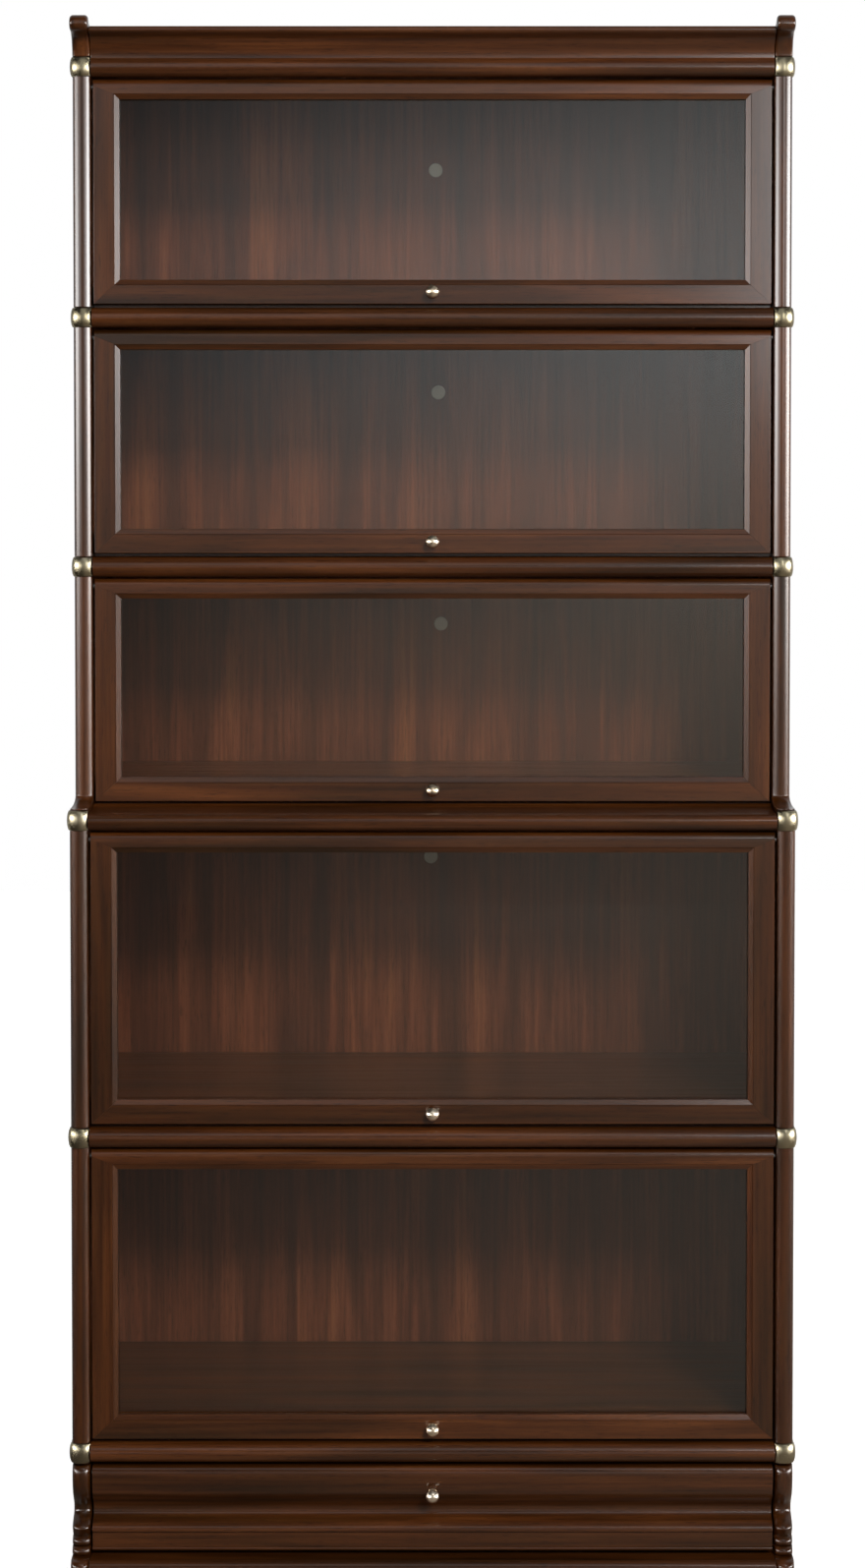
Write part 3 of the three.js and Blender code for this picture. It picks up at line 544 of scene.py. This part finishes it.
def sink_rule():
    """Countersunk holes in a panel, in rows."""
    tree, given = rule("countersunk_holes")
    sizes = {"Radius Top": SINK_RADIUS, "Radius Bottom": SCREW_TIP, "Depth": SINK_DEPTH}
    cone = add_node(tree, "GeometryNodeMeshCone", {"Vertices": SCREW_STEPS, **sizes})
    holes = set_in(tree, given, cone, SINK_DEPTH, -SAME_POINT)
    cut = {"Mesh 1": given["Geometry"], "Mesh 2": holes}
    return end_rule(tree, given, add_node(tree, "GeometryNodeMeshBoolean", cut, operation="DIFFERENCE"))


def screw_rule():
    """Slotted screws in rows, each turned to an angle of its own."""
    tree, given = rule("slotted_screws")
    slot = add_node(tree, "GeometryNodeMeshCube", {"Size": SLOT_SIZE})
    raised = add_node(tree, "GeometryNodeTransform", {"Geometry": slot, "Translation": (0, 0, SCREW_DEPTH)})
    sizes = {"Radius Top": SCREW_RADIUS, "Radius Bottom": SCREW_TIP, "Depth": SCREW_DEPTH}
    cone = add_node(tree, "GeometryNodeMeshCone", {"Vertices": SCREW_STEPS, **sizes})
    cut = {"Mesh 1": cone, "Mesh 2": raised}
    head = add_node(tree, "GeometryNodeMeshBoolean", cut, operation="DIFFERENCE")
    limits = {"Max": math.pi, "Seed": given["Seed"]}
    angle = add_node(tree, "FunctionNodeRandomValue", limits, data_type="FLOAT")
    turn = add_node(tree, "ShaderNodeCombineXYZ", {"Y": angle})
    return end_rule(tree, given, set_in(tree, given, head, SCREW_DEPTH, SCREW_SUNK, Rotation=turn))


SINKS = sink_rule()
SCREWS = screw_rule()


def back_screws(section, panel):
    """Countersinks in a back panel and the screws in them."""
    low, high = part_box(f"section_{section}_back_panel")
    values = {
        "Left": low.x + SCREW_INSET,
        "Right": high.x - SCREW_INSET,
        "Low": low.z + SCREW_RISE,
        "High": high.z - SCREW_RISE,
        "First": low.x * FOOT_ROW_WIDTH,
        "Last": high.x * FOOT_ROW_WIDTH,
        "Foot": low.z + SCREW_RISE,
        "Face": high.y,
        "Up": 1 + round((high.z - low.z) / SCREW_PITCH),
        "Across": SCREWS_ACROSS,
        "Seed": section,
    }
    ruled(panel, SINKS, values, BACK_WOOD)
    screws = mesh_object(f"section_{section}_back_screws", bpy.data.meshes.new("screws"), STEEL)
    ruled(screws, SCREWS, values, STEEL)
    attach(screws, "carcass")


def back_cap(section):
    """The round cover cap near the top of a back panel, as far off its middle as the photo shows."""
    low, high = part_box(f"section_{section}_back_panel")
    right, up = CAP_OFF[section]
    place = (right, low.y, high.z - CAP_DROP + up)
    rim = CAP_HEIGHT * CAP_ROUND
    profile = [(0, -CAP_HEIGHT), (CAP_RADIUS, -CAP_HEIGHT), (CAP_RADIUS, 0)]
    profile += arc((CAP_RADIUS - rim, CAP_HEIGHT - rim), (rim, rim), 0, 90, CAP_STEPS)
    profile.append((0, CAP_HEIGHT))
    turned(f"section_{section}_back_cap", profile, place, CAP, "carcass")


def dress_frame(section):
    """Uprights, boards and mouldings of one section."""
    name = f"section_{section}_"
    for side in ("left", "right"):
        dressed(name + side + "_side", WOOD_ALONG["z"])
        dressed(name + side + "_band", BAND_BRASS_PAINTED_DARKER, round_edges=0)
    dressed(name + "shelf_board", WOOD_ALONG["x"])
    back_screws(section, dressed(name + "back_panel", BACK_WOOD, round_edges=0))
    back_cap(section)


def frame_rings(low, high):
    """The section of a door's frame as rings of (half width, bottom, top, depth), round from the back."""
    half, back = high.x, high.y
    sight_half = half - STILE_WIDTH
    sight_low, sight_high = low.z + BOTTOM_RAIL, high.z - TOP_RAIL

    def outer(ease, drop, depth):
        return half - ease, low.z + ease, high.z - drop, low.y + depth

    def inner(margin, depth):
        return sight_half + margin, sight_low - margin, sight_high + margin, low.y + depth

    rings = [outer(BACK_EASE, BACK_EASE, back - low.y), outer(0, 0, back - low.y - BACK_EASE)]
    for i in range(FRAME_STEPS + 1):
        turn = math.pi / 2 * i / FRAME_STEPS
        fall = 1 - math.cos(turn)
        rings.append(outer(EDGE_EASE * fall, TOP_RADIUS * fall, TOP_RADIUS * (1 - math.sin(turn))))
    inner_edge = [
        (BEAD_WIDTH + QUIRK, 0),
        (BEAD_WIDTH + QUIRK / 2, QUIRK),
        (BEAD_WIDTH, QUIRK / 3),
        (BEAD_EASE, BEAD_DEPTH),
        (BEAD_EASE / 4, BEAD_DEPTH + BEAD_EASE / 3),
        (0, BEAD_DEPTH + BEAD_EASE),
        (0, GLASS_FRONT),
        (GROOVE, GLASS_FRONT),
        (GROOVE, GLASS_BACK),
        (0, GLASS_BACK),
        (0, GLASS_BACK + BACK_BEAD),
        (BACK_SPLAY, back - low.y),
    ]
    return rings + [inner(*point) for point in inner_edge]


def frame_member(name, rings, ends, grain, node):
    """One mitred length of a door frame, between two corners of its rings."""
    build = bmesh.new()
    loops = []
    for place in ends:
        loops.append([build.verts.new(place(*ring)) for ring in rings])
    count = len(rings)
    for i in range(count):
        j = (i + 1) % count
        build.faces.new([loops[0][i], loops[0][j], loops[1][j], loops[1][i]])
    for loop in loops:
        build.faces.new(loop)
    bmesh.ops.recalc_face_normals(build, faces=build.faces)
    place_on(finish_mesh(name, build, WOOD_ALONG[grain]), node)


def door_frame(node):
    """Two stiles and two rails, mitred at the corners and grained along their own lengths."""
    low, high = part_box(node)
    rings = frame_rings(low, high)
    gap = MITRE_GAP
    corner = {
        "stile": lambda side, end: lambda w, b, t, y: (side * w, y, (b + gap, t - gap)[end]),
        "rail": lambda side, end: lambda w, b, t, y: (side * (w - gap), y, (b, t)[end]),
    }
    for word, side in (("left", -1), ("right", 1)):
        ends = [corner["stile"](side, end) for end in (0, 1)]
        frame_member(f"{node}_{word}_stile", rings, ends, "z", node)
    for word, end in (("bottom", 0), ("top", 1)):
        ends = [corner["rail"](side, end) for side in (-1, 1)]
        frame_member(f"{node}_{word}_rail", rings, ends, "x", node)


def dress_door(section):
    """One door: frame, glass, knob and rod."""
    name = f"door_{section}_"
    door_frame(name + "frame")
    dressed(name + "pivot_rod", STEEL, round_edges=0)
    door_knob(name + "knob")
    glass = NODES[name + "glass"]
    glass.data.materials.clear()
    glass.data.materials.append(GLASS)


def dress_drawer():
    """The drawer: its front in mahogany, its box in maple."""
    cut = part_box("drawer")[0].y + DRAWER_FRONT
    for word, material, way in (("front", WOOD_ALONG["x"], 1), ("box", BOX_WOOD, -1)):
        build = merged("drawer")
        parts = list(build.verts) + list(build.edges) + list(build.faces)
        bmesh.ops.bisect_plane(
            build, geom=parts, plane_co=(0, cut, 0), plane_no=(0, way, 0), clear_outer=True
        )
        bmesh.ops.edgenet_fill(build, edges=[e for e in build.edges if e.is_boundary])
        bmesh.ops.recalc_face_normals(build, faces=build.faces)
        place_on(finish_mesh("drawer_" + word, build, material, EDGE_ROUND), "drawer")


def dress_base():
    """The base with its drawer."""
    for side in ("left", "right"):
        dressed(f"base_{side}_side", WOOD_ALONG["z"])
        dressed(f"base_{side}_band", BAND_BRASS_PAINTED_DARKER, round_edges=0)
    dressed("base_plinth_frame", WOOD_ALONG["x"])
    dress_drawer()
    door_knob("drawer_knob")


def dress_cornice():
    """The frieze between its two brackets."""
    dressed("cornice_frieze", WOOD_ALONG["x"])
    for side in ("left", "right"):
        dressed(f"cornice_{side}_bracket", WOOD_ALONG["z"])


def backdrop_seen(tree, behind):
    """1 for rays that look at the white backdrop: all from the camera, and mirrored ones that go behind."""
    path = add_node(tree, "ShaderNodeLightPath").node.outputs
    glossy = [path["Is Glossy Ray"], BACKDROP_MIRRORED]
    dimmed = add_node(tree, "ShaderNodeMath", glossy, operation="MULTIPLY")
    mirrored = add_node(tree, "ShaderNodeMath", [dimmed, path["Is Transmission Ray"]], operation="MAXIMUM")
    kept = add_node(tree, "ShaderNodeMath", [mirrored, behind], operation="MULTIPLY")
    return add_node(tree, "ShaderNodeMath", [path["Is Camera Ray"], kept], operation="MAXIMUM")


def changing(tree, brightness, *changes):
    """A brightness times each of its changes, given as (place or direction, where, from what to what)."""
    for way, where, how_much in changes:
        part = add_node(tree, "ShaderNodeMapRange", [way, *where, *how_much])
        brightness = add_node(tree, "ShaderNodeMath", [brightness, part], operation="MULTIPLY")
    return brightness


def studio_floor():
    """A plain white floor that keeps the bookcase's shadow, and the dim room's floor to what mirrors it."""
    material, tree = new_material("white_studio_floor")
    paint = add_node(tree, "ShaderNodeBsdfPrincipled", {"Base Color": linear("#b8b8b8"), "Roughness": 0.9})
    place = add_node(tree, "ShaderNodeTexCoord", output="Object")
    x, y, _ = add_node(tree, "ShaderNodeSeparateXYZ", [place]).node.outputs
    far_off = (y, ROOM_FLOOR_FAR, (FLOOR_FAR_OFF, 1.0))
    dim = changing(tree, 1.0, (x, ROOM_FLOOR_SIDES, ROOM_FLOOR), far_off)
    room_floor = add_node(tree, "ShaderNodeEmission", {"Color": linear(ROOM_LOW_COLOUR), "Strength": dim})
    away = add_node(tree, "ShaderNodeVectorMath", [place], "Value", operation="LENGTH")
    strength = add_node(tree, "ShaderNodeMapRange", [away, *FLOOR_GLOW_REACH, *FLOOR_GLOW])
    glow = add_node(tree, "ShaderNodeEmission", {"Color": WHITE, "Strength": strength})
    lit = add_node(tree, "ShaderNodeAddShader", [paint, glow])
    behind = add_node(tree, "ShaderNodeMapRange", [y, *WHITE_FLOOR_FROM, 0.0, 1.0])
    both = add_node(tree, "ShaderNodeMixShader", [backdrop_seen(tree, behind), room_floor, lit])
    add_node(tree, "ShaderNodeOutputMaterial", [both])
    bpy.ops.mesh.primitive_plane_add(size=FLOOR_SIZE, location=(0, 0, -FLOOR_DROP))
    floor = bpy.context.object
    floor.name = "studio_floor"
    floor.data.materials.append(material)


def window_glow(tree, outwards, strength):
    """A window's light by how far to its side a ray goes: its pane, and the lighter wall next to it."""
    wall = add_node(tree, "ShaderNodeMapRange", [outwards, *WALL_FROM, 0.0, strength * WINDOW_WALL])
    pane = add_node(tree, "ShaderNodeMapRange", [outwards, *PANE_FROM, 0.0, strength * (1 - WINDOW_WALL)])
    return add_node(tree, "ShaderNodeMath", [wall, pane], operation="ADD")


def room_light(tree, x, y, z):
    """How bright the room is in a direction, with its windows, which are there for mirrored rays alone."""
    tilt = add_node(tree, "ShaderNodeMath", [x, WINDOW_TILT], operation="MULTIPLY")
    rising = add_node(tree, "ShaderNodeMath", [z, tilt], operation="ADD")
    falling = add_node(tree, "ShaderNodeMath", [z, tilt], operation="SUBTRACT")
    leftwards = add_node(tree, "ShaderNodeMath", [x, -1.0], operation="MULTIPLY")
    right = changing(
        tree,
        window_glow(tree, x, RIGHT_WINDOW),
        (rising, RIGHT_SILL, (0.0, 1.0)),
        (falling, RIGHT_LINTEL, (1.0, RIGHT_ABOVE)),
    )
    left = changing(
        tree,
        window_glow(tree, leftwards, LEFT_WINDOW),
        (z, LEFT_SILL, (0.0, 1.0)),
        (z, LEFT_LINTEL, (1.0, LEFT_ABOVE)),
    )
    windows = changing(
        tree,
        add_node(tree, "ShaderNodeMath", [right, left], operation="ADD"),
        (z, WINDOWS_END, (1.0, 0.0)),
        (y, WINDOWS_BEHIND, (1.0, 0.0)),
    )
    mirrored = add_node(tree, "ShaderNodeLightPath", output="Is Glossy Ray")
    seen = add_node(tree, "ShaderNodeMath", [windows, mirrored], operation="MULTIPLY")
    walls = changing(
        tree,
        1.0,
        (x, ROOM_SIDES, ROOM_LEFT_TO_RIGHT),
        (z, ROOM_HEIGHT, ROOM_LOW_TO_HIGH),
        (z, CEILING, ROOM_TO_CEILING),
    )
    return add_node(tree, "ShaderNodeMath", [walls, seen], operation="ADD")


def studio_world():
    """A white backdrop to the eye, and a dim room with two windows to what mirrors it."""
    world = bpy.data.worlds.new("studio")
    bpy.context.scene.world = world
    world.use_nodes = True
    tree = world.node_tree
    tree.nodes.clear()
    place = add_node(tree, "ShaderNodeTexCoord", output="Generated")
    x, y, z = add_node(tree, "ShaderNodeSeparateXYZ", [place]).node.outputs
    low_down = add_node(tree, "ShaderNodeMapRange", [z, *ROOM_LOW_END, 1.0, 0.0])
    shades = [low_down, WHITE, linear(ROOM_LOW_COLOUR)]
    colour = add_node(tree, "ShaderNodeMix", shades, data_type="RGBA", blend_type="MULTIPLY")
    inputs = {"Color": colour, "Strength": room_light(tree, x, y, z)}
    room = add_node(tree, "ShaderNodeBackground", inputs)
    white = add_node(tree, "ShaderNodeBackground", {"Color": WHITE, "Strength": 1.0})
    behind = add_node(tree, "ShaderNodeMapRange", [y, *BACKDROP_FROM, 0.0, 1.0])
    both = add_node(tree, "ShaderNodeMixShader", [backdrop_seen(tree, behind), room, white])
    add_node(tree, "ShaderNodeOutputWorld", [both])


def softbox(name, place, aim, size, power, mirrored):
    """A flat soft lamp turned towards a point. One that isn't mirrored leaves no image in the lacquer."""
    lamp = bpy.data.lights.new(name, "AREA")
    lamp.shape = "RECTANGLE"
    lamp.size, lamp.size_y = size
    lamp.energy = power
    made = bpy.data.objects.new(name, lamp)
    bpy.context.scene.collection.objects.link(made)
    made.visible_glossy = mirrored
    made.location = place
    made.rotation_euler = (Vector(aim) - Vector(place)).to_track_quat("-Z", "Y").to_euler()


def camera():
    """The photograph's viewing angle: straight on, from above the middle, and tilted down a little."""
    lens = bpy.data.cameras.new("camera")
    lens.lens = CAMERA_LENS
    lens.sensor_width = CAMERA_SENSOR
    lens.shift_y = CAMERA_SHIFT
    made = bpy.data.objects.new("camera", lens)
    made.location = CAMERA_PLACE
    made.rotation_euler = (math.pi / 2 - CAMERA_PITCH, 0, 0)
    bpy.context.scene.collection.objects.link(made)
    bpy.context.scene.camera = made


def studio():
    """Floor, white backdrop, lamps and camera."""
    bpy.context.scene.view_settings.view_transform = "Standard"
    studio_floor()
    studio_world()
    for name, settings in LAMPS.items():
        softbox(name, *settings)
    camera()


for section in SECTIONS:
    dress_frame(section)
    dress_door(section)
dress_base()
dress_cornice()
studio()
